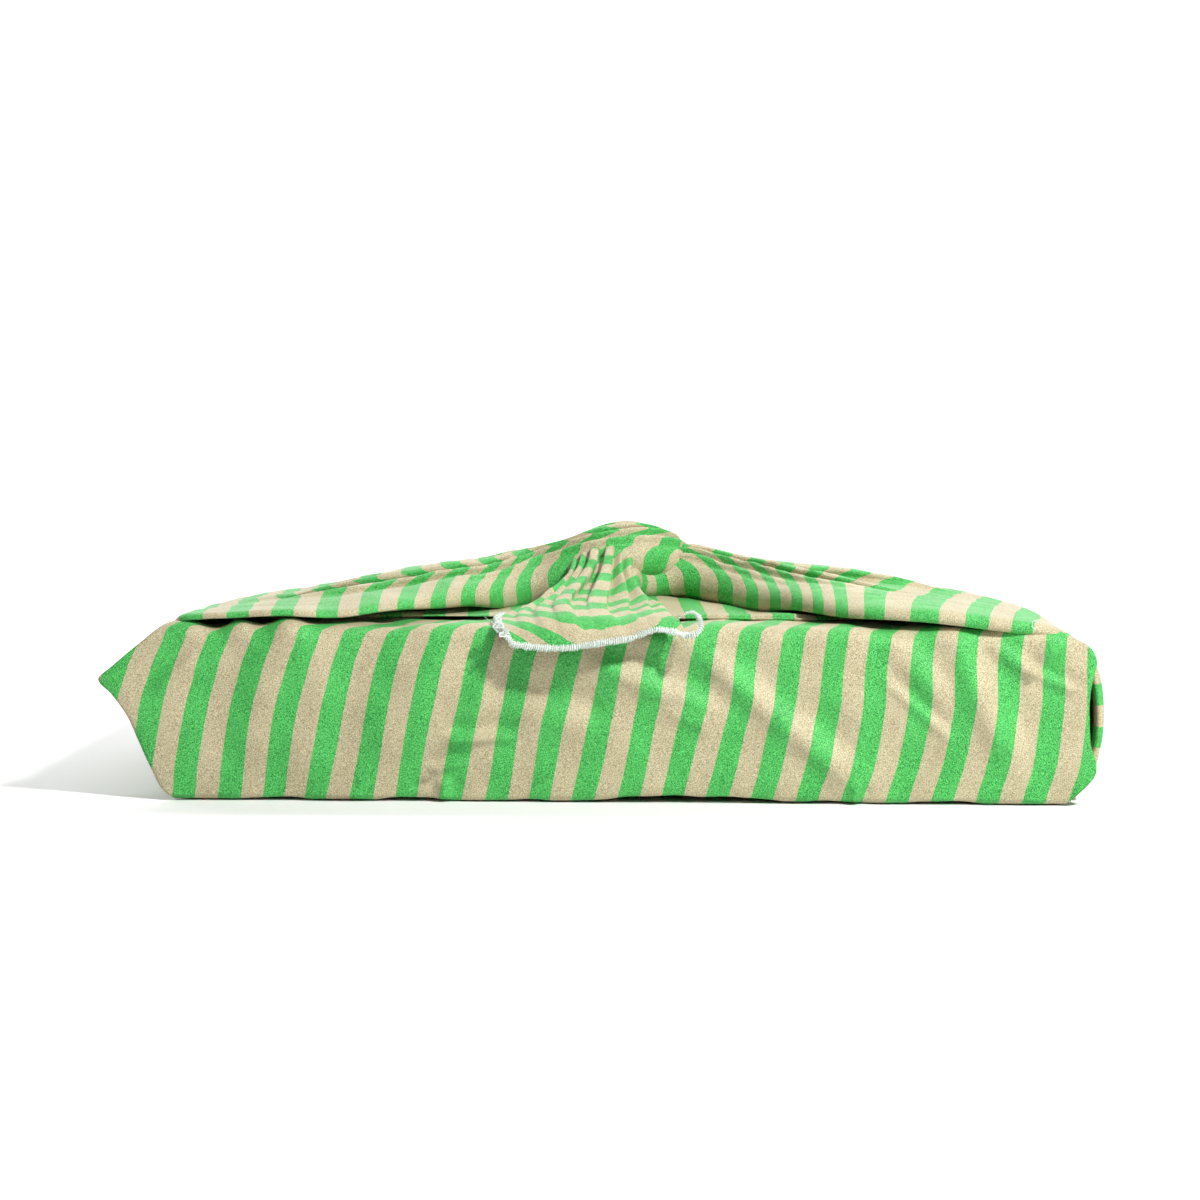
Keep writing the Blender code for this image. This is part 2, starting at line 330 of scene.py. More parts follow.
# The course from under the box, up the back and forward to the flap's fold: y, z, radius of the corner there
BACK_COURSE = (
    (-101, 0.25, 0),
    (DEPTH_HALF, 0.25, 2.6),
    (DEPTH_HALF, TOP + 2, 6.5),
    (FLAP_FOLD, TOP + 2.4, 0.8),
    (FLAP_FOLD, TOP + 0.8, 0.8),
    (90, TOP + 0.8, 0),
)
BACK_ROWS = (14, 2.7, 3.2, 1.0, 14)  # how far apart the grid's rows are on each run of that course
BACK_COLUMNS = 140
BACK_FOLD = 6.0  # how far behind the face the cloth turns back at its rims
FOLD_CLOSES = 0.85  # the share of that by which the folds close towards the top
BACK_START = 300  # how far along the strip that course starts
BACK_LEAN, FLAP_LEAN = 0.06, 0.035  # how far aslant the stripes run on the back and on the flap
KNOT_BUNCH, KNOT_REACH = 4.5, 44  # how high and how far out the flap is bunched up under the knot
# The hidden parts: two opposite corners, and how many points there are from front to back and across
HIDDEN_PARTS = (
    ((-188, -60, TOP - 0.5), (186, 96, TOP - 0.5), 8, 20),
    ((-184, -40, TOP - 1.1), (184, 92, TOP - 1.1), 8, 20),
    ((-204, -103, TOP - 5.8), (198, 106, TOP - 5.8), 8, 20),
    ((-203.5, 96, TOP - 6), (-198, 107.5, TOP + 0.6), 8, 6),
    ((198.5, 96, TOP - 6), (192.5, 107.5, TOP + 0.4), 8, 6),
)


def back_and_flap():
    """The strip from under the box to the flap's edge, whose folds at the corners close towards the top."""
    line = trace(BACK_COURSE, BACK_ROWS)
    inward = inward_of(line)
    facing = np.clip(-inward[:, :1], 0, 1)
    over = np.where(line[:, 0] < 100, 1, np.abs(inward[:, 1])) * (line[:, 1] > TOP / 2)
    rims = flow(BACK_RIMS, line[:, 1])
    flap = flow(FLAP_SIDES, line[:, 0])
    left = rims[:, 0] * (1 - over) + flap[:, 0] * over
    right = rims[:, 1] * (1 - over) + flap[:, 1] * over
    facing_back = np.clip(-inward[:, 0] * 2 - 1, 0, 1)
    x, deep = across_with_folds(left, right, BACK_COLUMNS, BACK_FOLD, facing_back)
    y, z = line[:, :1], line[:, 1:]
    deep = deep * (1 - FOLD_CLOSES * ramp(z, 62, 16))
    along = BACK_START + run_along(line)[:, None]
    uneven = 0.6 * ripple(x, along, BROAD_SIZE, seed=13)
    relief = creases(x, z, BACK_CREASES) * facing + uneven * (facing + over[:, None])
    on_top = over[:, None] * (z > TOP + 1.5)
    relief += (0.9 * creases(x, y, FLAP_CREASES) + 0.25 * ripple(x, y, 30, seed=17)) * on_top
    relief += KNOT_BUNCH * bell(np.hypot(x, y) / KNOT_REACH) * on_top
    relief += np.sin(math.pi * np.clip(z / HEIGHT, 0, 1)) * facing
    relief = np.maximum(relief, -0.7) * (z > 4)
    rise = relief - deep
    wander = 0.02 * x + 1.5 * np.sin(x / 55)  # the flap's folded edge isn't quite straight
    py = y - inward[:, :1] * rise + wander * on_top * (y < 0) * y / FLAP_FOLD
    pz = np.maximum(z - inward[:, 1:] * rise, 0.12)
    lean = stripe_lean(x, 0) + BACK_LEAN * z + FLAP_LEAN * (DEPTH_HALF - y) * (z > TOP)
    sheets.append((np.stack([x, py, pz], axis=-1), np.stack([x - lean, along + 0 * x], axis=-1)))


def hidden_part(first, last, rows, columns):
    """A plain part of the cloth that lies between the folds."""
    (x0, y0, z0), (x1, y1, z1) = first, last
    s, t = np.meshgrid(np.linspace(0, 1, rows), np.linspace(0, 1, columns), indexing="ij")
    points = np.stack([x0 + (x1 - x0) * t, y0 + (y1 - y0) * s, z0 + (z1 - z0) * t], axis=-1)
    sheets.append((points, points[..., :2] + points[..., 2:]))


back_and_flap()
for first, last, rows, columns in HIDDEN_PARTS:
    hidden_part(first, last, rows, columns)


# ---- The bands, the knot and the tails --------------------------------------------------------------------
# Each is one length of the same cloth. It rises from the foot of an end, turns over the top edge, is gathered
# into folds towards the knot, passes through it as a closed strand, and opens into a tail.

# Each length from the foot of its end to its tail: x, y, z of the middle line, heading in degrees, reach from
# it to the first edge and to the second, crest above the edges, how peaked the crest is, fold height, fold
# tightness, broad wave, turned-under width, depth of the underside, its rounded nose, and how far a tail
# drops at its first edge and at its second
LEFT_LENGTH = (
    (-203, 0, 2, 0, -95, 97, 1.0, 0.6, 0, 0, 0, 5, 3, 2, 0, 0),
    (-207.5, 0, 8, 0, -96, 98, 2.5, 0.6, 0, 0, 0.2, 6, 4, 2, 0, 0),
    (-209, 0, 25, 0, -97, 99, 4.0, 0.6, 0, 0, 0.5, 7, 4, 2, 0, 0),
    (-209.5, 0, 48, 0, -97, 99, 4.0, 0.6, 0, 0, 0.6, 7, 4, 2, 0, 0),
    (-210, 0, 66, 0, -98, 103, 2.4, 0.6, 0.1, 0.1, 0.5, 7, 4, 2, 0, 0),
    (-209.3, 0, 76.5, 0, -102, 107, 1.4, 0.6, 0.2, 0.1, 0.3, 8, 3.5, 2, 0, 0),
    (-205, 0, 83.2, 0, -106, 109.3, 1.0, 0.65, 0.4, 0.3, 0.2, 10, 3.2, 2, 0, 0),
    (-194, 0, 85.4, 0, -109, 109, 1.4, 0.7, 0.8, 0.5, 0.3, 12, 3, 2, 0, 0),
    (-179, 0, 86, 0, -110, 107, 2.2, 0.7, 1.3, 0.7, 0.4, 13, 3, 2, 0, 0),
    (-160, 0, 86.2, 0, -110, 101.5, 3.4, 0.7, 1.8, 0.85, 0.5, 13, 3, 2, 0, 0),
    (-137, 0, 86.8, 0, -107, 90.5, 5.4, 0.7, 2.2, 1.0, 0.6, 14, 3, 2, 0, 0),
    (-109, 0, 88, 0, -94, 76, 8, 0.7, 2.5, 1.1, 0.6, 16, 3, 2.5, 0, 0),
    (-82, 0, 89.5, 0, -69, 58, 10, 0.65, 2.6, 1.2, 0.5, 19, 5, 5, 0, 0),
    (-62, -0.5, 91, 0, -46, 43, 11.5, 0.6, 2.5, 1.2, 0.4, 24, 9, 10, 0, 0),
    (-46, -1.5, 94, -3, -28, 28, 12.5, 0.55, 2.2, 1.2, 0.2, 26, 12, 18, 0, 0),
    (-29, -5, 98.5, -8, -21, 21, 13.5, 0.5, 2.0, 1.2, 0, 20, 14, 18, 0, 0),
    (-13, -7, 103.5, 2, -20, 20, 14, 0.5, 1.9, 1.2, 0, 19.5, 13.5, 18, 0, 0),
    (2, -3, 106, 30, -19, 19, 13.5, 0.5, 1.9, 1.2, 0, 18.5, 12.5, 17, 0, 0),
    (12, 6, 104, 58, -19, 19, 13, 0.5, 1.9, 1.2, 0, 18.5, 12, 17, 0, 0),
    (16, 18, 98, 85, -18, 18, 13, 0.5, 2.0, 1.2, 0, 16.5, 12, 16, 0, 0),
    (14, 31, 91.5, 98, -19, 19, 10.5, 0.55, 2.2, 1.2, 0.4, 12, 9, 10, 0, 0),
    (11.5, 43, 89, 97, -25, 25, 7.5, 0.6, 2.3, 1.1, 1.0, 7, 5, 6, 0.6, 0.6),
    (10, 55, 87.8, 92, -34, 33, 5, 0.65, 2.1, 1.0, 1.5, 2, 2, 2, 1.0, 0.6),
    (9, 68, 87, 90, -42, 40, 3.6, 0.7, 1.5, 0.8, 1.8, 0, 0.5, 1, 1.2, 0.4),
    (8, 84, 86.4, 90, -46, 43.5, 2.8, 0.7, 0.9, 0.5, 1.6, 0, 0, 1, 1.4, 0.2),
    (7, 100, 85.6, 90, -48.5, 47.5, 2.0, 0.7, 0.5, 0.3, 1.4, 0, 0, 1, 2.0, 0.2),
    (7, 110, 83, 88, -48.5, 47.5, 1.6, 0.7, 0.3, 0.2, 1.2, 0, 0, 1, 2.4, 0.4),
    (6.5, 115.8, 77, 87, -44, 44, 1.4, 0.7, 0.2, 0.1, 1.2, 0, 0, 1, 2.0, 0.4),
    (7, 118, 70, 87, -37, 38, 1.2, 0.7, 0.1, 0, 1.4, 0, 0, 1, 1.2, 0.4),
    (8, 118.8, 64, 87, -30, 33, 0.8, 0.7, 0, 0, 1.6, 0, 0, 1, 0.6, 0.4),
)
RIGHT_LENGTH = (
    (203, 0, 3, 180, -97, 95, 1.0, 0.6, 0, 0, 0, 5, 3, 2, 0, 0),
    (210.3, 0, 9, 180, -98, 99, 2.0, 0.6, 0, 0, 0.2, 6, 4, 2, 0, 0),
    (215.6, 0, 24, 180, -98, 101.5, 1.6, 0.6, 0, 0, 0.4, 7, 4, 2, 0, 0),
    (216.4, 0, 46, 180, -98, 102, 1.6, 0.6, 0, 0, 0.5, 7, 4, 2, 0, 0),
    (212.6, 0, 62, 180, -100.5, 101, 2.0, 0.6, 0.1, 0.1, 0.4, 7, 4, 2, 0, 0),
    (205, 0, 72, 180, -104, 102, 1.8, 0.6, 0.2, 0.1, 0.3, 8, 4.5, 2.5, 0, 0),
    (197, 0, 78.5, 180, -107, 107, 1.2, 0.65, 0.4, 0.3, 0.2, 10, 5, 3, 0, 0),
    (187, 0, 82.5, 180, -108.5, 110, 1.2, 0.7, 0.8, 0.5, 0.3, 12, 5.5, 3, 0, 0),
    (175, 0, 84.5, 180, -107, 111.5, 1.6, 0.7, 1.2, 0.7, 0.4, 13, 5.8, 3, 0, 0),
    (160, 0, 86, 180, -101.5, 112, 2.6, 0.7, 1.6, 0.85, 0.5, 13, 5.8, 3, 0, 0),
    (135, 0, 87, 180, -90, 110, 5.6, 0.7, 2.1, 1.0, 0.6, 14, 5.2, 3, 0, 0),
    (105, 0, 88, 180, -74, 98, 8.5, 0.7, 2.5, 1.1, 0.6, 16, 4.5, 3, 0, 0),
    (79, 0, 89.5, 180, -55, 71, 10, 0.65, 2.6, 1.2, 0.5, 19, 6, 5, 0, 0),
    (61, 1.5, 91, 180, -43, 45, 11.5, 0.6, 2.5, 1.2, 0.4, 24, 9, 10, 0, 0),
    (46, 4, 93.5, 177, -28, 28, 12, 0.55, 2.2, 1.2, 0.2, 26, 12, 18, 0, 0),
    (29, 7, 96.5, 178, -21, 21, 12.5, 0.5, 2.0, 1.2, 0, 20, 13, 18, 0, 0),
    (12, 6, 95, 194, -19.5, 19.5, 11, 0.5, 1.9, 1.2, 0, 19, 12, 18, 0, 0),
    (-2, -2, 94.5, 220, -19, 19, 10, 0.5, 1.9, 1.2, 0, 18.5, 12, 17, 0, 0),
    (-10, -13, 96.5, 247, -18.5, 18.5, 11.5, 0.5, 1.9, 1.2, 0, 18, 12, 17, 0, 0),
    (-12, -25, 95.5, 264, -18, 18, 12, 0.5, 2.1, 1.2, 0, 16.5, 11.5, 16, 0, 0),
    (-12.5, -37, 91, 269, -21, 19, 10.5, 0.55, 2.2, 1.2, 0.4, 12, 9, 10, 0, 0),
    (-13, -48, 88.8, 270, -29, 24, 7.5, 0.6, 2.4, 1.1, 1.2, 7, 5, 6, 1.4, 0.6),
    (-14, -60, 87.8, 270, -37, 29, 5, 0.65, 2.2, 1.0, 1.9, 2, 2, 2, 2.6, 0.6),
    (-16, -76, 87, 270, -41.5, 32.5, 3.6, 0.7, 1.6, 0.8, 2.0, 0, 0.5, 1, 3.7, 0.4),
    (-18, -94, 86.3, 270, -42.5, 35.5, 2.6, 0.7, 0.9, 0.5, 1.8, 0, 0, 1, 4.2, 0.4),
    (-18.5, -107, 85.2, 270, -41, 38, 1.9, 0.7, 0.5, 0.3, 1.4, 0, 0, 1, 3.9, 0.4),
    (-18, -116, 83, 271, -40.5, 40.5, 1.2, 0.7, 0.3, 0.2, 1.1, 0, 0, 1, 3.2, 0),
    (-17, -121.6, 78, 272, -38.5, 41.5, 0.8, 0.7, 0.2, 0, 0.8, 0, 0, 1, 2.0, -0.6),
    (-16.5, -124.4, 71, 272, -34.5, 41.5, 0.4, 0.7, 0, 0, 0.8, 0, 0, 1, 0.6, -0.6),
)
# The folds of each length, from its first edge to its second: share of the way across, how far from the foot
# it starts, how far the stripes beyond it have slipped, which way it opens, and its size
LEFT_FOLDS = (
    (0.11, 205, 2.5, -1, 0.8),
    (0.24, 118, -6, -1, 1.0),
    (0.35, 86, 8, -1, 1.2),
    (0.46, 94, -7, 1, 1.0),
    (0.58, 118, 5, -1, 1.1),
    (0.69, 98, 4, 1, 1.1),
    (0.80, 160, -6, 1, 1.0),
    (0.91, 210, 3, 1, 0.8),
)
RIGHT_FOLDS = (
    (0.10, 200, -3, -1, 0.8),
    (0.21, 150, 6, -1, 1.0),
    (0.33, 130, -4, -1, 1.1),
    (0.44, 108, -5, 1, 1.1),
    (0.54, 150, 8, -1, 1.0),
    (0.65, 132, -6, 1, 1.2),
    (0.77, 170, 4, 1, 1.0),
    (0.89, 205, 3, 1, 0.8),
)
# How much shorter the cloth ends along each tail's last edge: share of the way across, by how much
BACK_HEM = ((0, 3.5), (0.2, 0.8), (0.45, 0), (0.7, 3), (0.88, 5), (1, 8))
FRONT_HEM = ((0, 2.2), (0.14, 0.7), (0.28, 0.2), (0.5, 2.6), (0.69, 4.8), (0.85, 8.4), (0.93, 7.6), (1, 6.2))
HEM_REACH = 32.0  # how far back from the last edge the cloth follows that edge's line
FOLD_REACH = 0.033  # half the width of a fold, as a share of the way across
FOLD_OPENS = 70  # how far on from its start a fold is full
FOLD_DRIFT, DRIFT_LENGTH = 0.012, 37  # share of the way across by which a fold wanders, and how slowly
FOLD_DRAWS = 1.35  # how strongly a fold draws the cloth beside it in
GROOVE = 0.75  # depth of the groove beside a fold's lip, against the lip's height
SLANT_FROM, SLANT_OVER = 60, 40  # how far from the foot the stripes start to lie askew, and over what length
BUNCHED, BUNCH_WIDTH, BUNCH_OVER = 0.75, 75, 30  # how much the threads share their length where it is narrow
TOP_COLUMNS = 88  # of the grid, over a length's upper side
UNDER_COLUMNS = 10  # of the grid, on the turned-under part of each edge
ROW_GAP = 2.1  # between the grid's rows
EDGE_DROP = 2.3  # how far a band's rounded edges lie below its top
EDGE_ROLL = 5.5  # how far in from the edge that rounding reaches


def fold_columns(folds):
    """Shares of the way across for the grid's columns, closer together at the folds and at both edges."""
    even = np.linspace(0, 1, 1000)
    at_folds = sum(1.5 * bell((even - fold[0]) / 0.04) for fold in folds)
    at_edges = 3 * bell(np.minimum(even, 1 - even) / 0.018)
    total = np.cumsum(1 + at_folds + at_edges)
    return np.interp(np.linspace(total[0], total[-1], TOP_COLUMNS), total, even)


def unit(vectors):
    """The vectors, each made 1 long."""
    return vectors / np.linalg.norm(vectors, axis=-1, keepdims=True)


def both_edges(grid):
    """The grid with its first and last columns repeated, for the turned-under edges."""
    return np.pad(grid, [(0, 0), (UNDER_COLUMNS, UNDER_COLUMNS)] + [(0, 0)] * (grid.ndim - 2), mode="edge")


def gathered_length(rows, folds, hem, seed, flat_start, slant):
    """Lays one length from the foot of an end to its tail, and returns its points and outward directions.

    Its flat coordinates start at flat_start, and on the top its stripes lie askew by slant.
    """
    rows = np.array(rows, float)
    length = run_along(rows[:, :3])
    share = fold_columns(folds)
    at = np.linspace(0, length[-1], round(length[-1] / ROW_GAP))[:, None]
    near_hem = np.clip(1 - (length[-1] - at) / HEM_REACH, 0, 1)
    course = flow(np.column_stack([length, rows]), at - flow(hem, share)[:, 0] * near_hem**1.5)
    middle, columns = course[..., :3], np.moveaxis(course[..., 3:], -1, 0)
    heading, reach0, reach1, crest, peaked, height, tight, wave = columns[:8]
    tuck, under, nose, drop0, drop1 = columns[8:]
    along = unit(np.gradient(middle, axis=0))
    turn = np.radians(heading)
    across = np.stack([-np.sin(turn), np.cos(turn), 0 * turn], axis=-1)
    outward = unit(np.cross(along, across))

    # w is the way across from the middle line, h the height above it
    width = reach1 - reach0
    window = 1 - (2 * share - 1) ** 8  # 1 but close to the edges
    w = reach0 + width * share
    h = np.maximum(crest, 0) * np.clip(1 - (2 * share - 1) ** 2, 0, 1) ** peaked
    slip = 0 * w
    for place, start, stripe_slip, side, size in folds:
        drift = FOLD_DRIFT * np.sin(at / DRIFT_LENGTH + 9 * place + seed)
        off = (share - place - drift) / FOLD_REACH
        amount = size * ramp(at, start, FOLD_OPENS) ** 0.8
        w = w - FOLD_DRAWS * width * FOLD_REACH * tight * amount * off * bell(off)
        lip, groove = bell((side * off + 0.9) / 1.1), bell((side * off - 0.7) / 0.8)
        h = h + np.maximum(height, 0) * amount * (lip - GROOVE * groove)
        slip = slip + stripe_slip * np.clip(tight * amount, 0, 1) ** 2 * np.clip(0.5 + off, 0, 1)
    h = h + wave * np.sin(9.4 * share + seed + 0.02 * at) * window
    # Small creases along the length where it is gathered, and a broad unevenness all over
    fine = np.clip(height / 2, 0, 1)
    h = h + 0.35 * fine * ripple(w, at * 0.12, 6.5, seed=20 + int(seed)) * window
    h = h + (0.35 + 0.3 * fine) * ripple(w, at, 55, seed=30 + int(seed))
    h = h - drop0 * (1 - share) ** 2 - drop1 * share**2
    rolled = EDGE_DROP * np.clip(under / 3, 0, 1)  # a tail has no underside, and its edge is flat
    from_edge = np.clip(np.minimum(share, 1 - share) * width / EDGE_ROLL, 0, 1)
    h = h - rolled * (1 - np.sqrt(1 - (1 - from_edge) ** 2))

    back = np.linspace(0, 1, UNDER_COLUMNS + 1)[1:] ** 1.3
    inside = np.maximum(tuck[:, :1], 0) * back
    before_nose = 1 - np.clip(inside / np.maximum(nose[:, :1], 0.5), 0, 1)
    dip = np.maximum(under[:, :1] - EDGE_DROP, 0.3) * np.sqrt(1 - before_nose**2)
    w = np.concatenate([(w[:, :1] + inside)[:, ::-1], w, w[:, -1:] - inside], axis=1)
    h = np.concatenate([(h[:, :1] - dip)[:, ::-1], h, h[:, -1:] - dip], axis=1)
    outward = both_edges(outward)
    flat_course = both_edges(middle) + w[..., None] * both_edges(across)
    points = flat_course + h[..., None] * outward

    # Every thread keeps its own length from the foot of the end, less so in the knot, where they bunch
    steps = np.pad(np.linalg.norm(np.diff(flat_course, axis=0), axis=2), ((1, 0), (0, 0)))
    bunched = BUNCHED * np.clip((BUNCH_WIDTH - width[:, :1]) / BUNCH_OVER, 0, 1)
    mean = steps.mean(axis=1, keepdims=True)
    run = np.cumsum(steps * (1 - bunched) + mean * bunched, axis=0)
    u = flat_start + run + slant * w * ramp(at, SLANT_FROM, SLANT_OVER) + both_edges(slip)
    sheets.append((points, np.stack([u, w], axis=-1)))
    return points, outward


left_points, left_out = gathered_length(
    LEFT_LENGTH, LEFT_FOLDS, BACK_HEM, seed=1.0, flat_start=3.0, slant=0.07
)
right_points, right_out = gathered_length(
    RIGHT_LENGTH, RIGHT_FOLDS, FRONT_HEM, seed=2.4, flat_start=-3.5, slant=-0.15
)


# ---- The one square of cloth ------------------------------------------------------------------------------
# A fine sateen cotton woven in even green and tan stripes. All the lengths above are this one piece, so they
# are one mesh, and its flat coordinates carry the stripes through every fold.

# How the goods inside let the top sink at its rear corners, and make the right one bulge: how far from the
# parcel's middle it starts, over what length it grows, and how far it goes at the corner
LEFT_SINKS = (90, 107, 8.5)
RIGHT_SINKS = (100, 85, 4.5)
RIGHT_BULGES = (90, 110, 7.0)
STRIPE = 10.13  # width of a stripe
STRIPE_START = 3.8  # where a green stripe starts, in the first flat coordinate
# Each thread's colour on its face and down in the weave
GREEN, GREEN_DEEP = (0.118, 0.635, 0.146), (0.010, 0.180, 0.024)
TAN, TAN_DEEP = (0.640, 0.575, 0.378), (0.290, 0.240, 0.130)
EDGE_SHARPNESS = 14.0  # how hard the line between two stripes is
EDGE_FRAY = 0.4  # how far the grain moves that line
GRAIN_SCALE, PATCH_SCALE = 3500.0, 60.0  # how many grains, and how many broad patches, to a metre
GRAIN_LEAN = 0.75  # how far the grain is turned from upright, in radians
GRAIN_SHOWS, PATCH_SHOWS = 4.2, 0.45  # how much each of them lightens and darkens the colour
SMOOTHEST, ROUGHER = 0.44, 0.2  # the least roughness, and how much the grain adds to it
WARP_SCALE, WEFT_SCALE = 480.0, 330.0  # how close the ribs of the weave are, each way
OBJECT_PLACE = 3  # the Texture Coordinate node's output of places on the object, in metres
LEAST_AREA = 1e-10  # of a face that is kept, in square metres


def settled(points):
    """The points with the top sunk at its rear corners and the right one pushed out, by the goods inside."""
    x, y, z = np.moveaxis(points, -1, 0)
    to_back = np.sin(math.pi / 2 * ramp(y, -DEPTH_HALF, 2 * DEPTH_HALF))
    start, reach, sink = LEFT_SINKS
    to_left = sink * ramp(-x, start, reach) ** 1.2
    start, reach, sink = RIGHT_SINKS
    to_right = sink * ramp(x, start, reach) ** 1.2
    sunk = (to_left + to_right) * ramp(z, 10, 70)
    start, reach, bulge = RIGHT_BULGES
    out = bulge * ramp(x, start, reach) * ramp(z, 30, 45)
    return np.stack([x + out * to_back, y, z - sunk * to_back], axis=-1)


class Wire:
    """A shader socket that Python's operators can work on; each operation adds its Math node."""

    def __init__(self, tree, socket=None):
        self.tree, self.socket = tree, socket

    def node(self, kind, settings=None, out=0, **sockets):
        """A node of any kind, its sockets filled by name, or by number as _0, and its output number out."""
        made = self.tree.nodes.new("ShaderNode" + kind)
        for name, value in (settings or {}).items():
            setattr(made, name, value)
        for name, value in sockets.items():
            key = int(name[1:]) if name[0] == "_" else name.replace("_", " ")
            if isinstance(value, Wire):
                self.tree.links.new(value.socket, made.inputs[key])
            else:
                made.inputs[key].default_value = value
        return Wire(self.tree, made.outputs[out])

    def maths(self, operation, *values, clamp=False):
        """A Math node on the values."""
        filled = {f"_{place}": value for place, value in enumerate(values)}
        return self.node("Math", {"operation": operation, "use_clamp": clamp}, **filled)

    def __add__(self, other):
        return self.maths("ADD", self, other)

    def __sub__(self, other):
        return self.maths("SUBTRACT", self, other)

    def __mul__(self, other):
        return self.maths("MULTIPLY", self, other)

    def __rsub__(self, other):
        return self.maths("SUBTRACT", other, self)

    __radd__ = __add__
    __rmul__ = __mul__

    def blend(self, low, high):
        """The colour low where this is 0 and high where it is 1. Sockets 6, 7 and 2 are Mix's colour ones."""
        return self.node("Mix", {"data_type": "RGBA"}, 2, _0=self, _6=low, _7=high)


def rgba(colour):
    """The colour as a socket takes it, opaque."""
    return (*colour, 1.0)


def new_material(name, roughness, **constants):
    """A Principled material, with what is the same all over it set on the shader's own sockets."""
    material = bpy.data.materials.new(name)
    material.use_nodes = True
    shader = material.node_tree.nodes["Principled BSDF"]
    shader.inputs["Roughness"].default_value = roughness
    for socket, value in constants.items():
        shader.inputs[socket.replace("_", " ")].default_value = value
    return material, shader, Wire(material.node_tree)


def feed(shader, **wires):
    """Link each wire to the shader's socket of that name."""
    for socket, wire in wires.items():
        wire.tree.links.new(wire.socket, shader.inputs[socket.replace("_", " ")])


def striped_cotton():
    """The cotton: stripes with slightly frayed edges, grainy yarn, a fine weave and a weak sheen."""
    material, shader, wire = new_material("striped_cotton", 0.6, Sheen_Weight=0.12, Sheen_Roughness=0.4)
    shader.inputs["Sheen Tint"].default_value = (0.95, 1.0, 0.9, 1)
    shader.inputs["Specular IOR Level"].default_value = 0.3
    flat = wire.node("UVMap", {"uv_map": "cloth"})
    run = wire.node("SeparateXYZ", _0=flat)  # the first coordinate, across the stripes
    place = wire.node("TexCoord", out=OBJECT_PLACE)
    turned = wire.node("VectorRotate", {"rotation_type": "Y_AXIS"}, Vector=place, Angle=GRAIN_LEAN)
    drawn = wire.node("VectorMath", {"operation": "MULTIPLY"}, _0=turned, _1=(1.0, 1.0, 0.5))
    grain = wire.node("TexNoise", Vector=drawn, Scale=GRAIN_SCALE, Detail=1.0, Roughness=0.55)
    patch = wire.node("TexNoise", Vector=place, Scale=PATCH_SCALE, Detail=2.0)
    frayed = run + (grain - 0.5) * (EDGE_FRAY * MM)
    wave = wire.maths("SINE", (frayed - STRIPE_START * MM) * (math.pi / (STRIPE * MM)))
    green = wire.maths("ADD", wave * EDGE_SHARPNESS, 0.5, clamp=True)
    light = wire.maths("ADD", (grain - 0.5) * GRAIN_SHOWS + (patch - 0.5) * PATCH_SHOWS, 0.5, clamp=True)
    tan_yarn = light.blend(rgba(TAN_DEEP), rgba(TAN))
    green_yarn = light.blend(rgba(GREEN_DEEP), rgba(GREEN))
    colour = green.blend(tan_yarn, green_yarn)
    rough = SMOOTHEST + grain * ROUGHER
    warp = wire.node("TexWave", {"bands_direction": "X"}, Vector=flat, Scale=WARP_SCALE, Distortion=1.2)
    weft_way = {"bands_direction": "DIAGONAL"}
    weft = wire.node("TexWave", weft_way, Vector=flat, Scale=WEFT_SCALE, Distortion=1.0)
    relief = warp * 0.5 + weft * 0.6 + grain * 1.2
    bump = wire.node("Bump", Strength=0.35, Distance=0.00018, Height=relief)
    feed(shader, Base_Color=colour, Roughness=rough, Normal=bump)
    return material


def grid_mesh(name, grids):
    """All the grids as one mesh with their flat coordinates; faces that have no area are left out."""
    places, flats, faces, start = [], [], [], 0
    for points, flat in grids:
        rows, columns = points.shape[:2]
        index = start + np.arange(rows * columns).reshape(rows, columns)
        quads = np.stack([index[:-1, :-1], index[1:, :-1], index[1:, 1:], index[:-1, 1:]], axis=-1)
        places.append(points.reshape(-1, 3) * MM)
        flats.append(flat.reshape(-1, 2) * MM)
        faces.append(quads.reshape(-1, 4))
        start += rows * columns
    places, flats, faces = np.concatenate(places), np.concatenate(flats), np.concatenate(faces)
    a, b, c, d = (places[faces[:, k]] for k in range(4))
    area = np.linalg.norm(np.cross(c - a, d - b), axis=1) / 2
    faces = faces[area > LEAST_AREA]
    used, faces = np.unique(faces, return_inverse=True)
    places, flats, faces = places[used], flats[used], faces.reshape(-1, 4)
    mesh = bpy.data.meshes.new(name)
    mesh.from_pydata(places.tolist(), [], faces.tolist())
    layer = mesh.uv_layers.new(name="cloth")
    layer.data.foreach_set("uv", flats[faces.ravel()].astype(np.float32).ravel())
    mesh.shade_smooth()
    thing = bpy.data.objects.new(name, mesh)
    bpy.context.scene.collection.objects.link(thing)
    return thing


cloth = grid_mesh("furoshiki_cloth", [(settled(points), flat) for points, flat in sheets])
cloth.data.materials.append(striped_cotton())
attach(cloth, "root")
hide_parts("wrap_cloth")


# ---- The overlocked edge and its loose threads ------------------------------------------------------------
# White overlock stitching wraps the cloth's raw edge, which shows along both tails. At the front tail's left
# corner the threads end in a small tangle, and at its right corner the empty chain of stitches curls up.

BEAD_HALF_WIDTH = 1.3  # of the bead of stitches, in from the cloth's edge
BEAD_HALF_THICK = 0.55  # and through the cloth
BEAD_CORE = (0.85, 0.8)  # the share of those two that the threads under the wound one take up
STITCH_PITCH = 1.0  # from one turn of the wound thread to the next
STITCH_THREAD = 0.28  # its radius
STITCH_STEP = 0.075  # between the points that the wound thread is drawn by
BEAD_EVERY = 10  # the bead is drawn by every tenth of them
PROUD = 0.16  # how far the wound thread stands off the bead
STITCHED_ROWS = 26  # how many of a tail's last rows have stitches along their edges
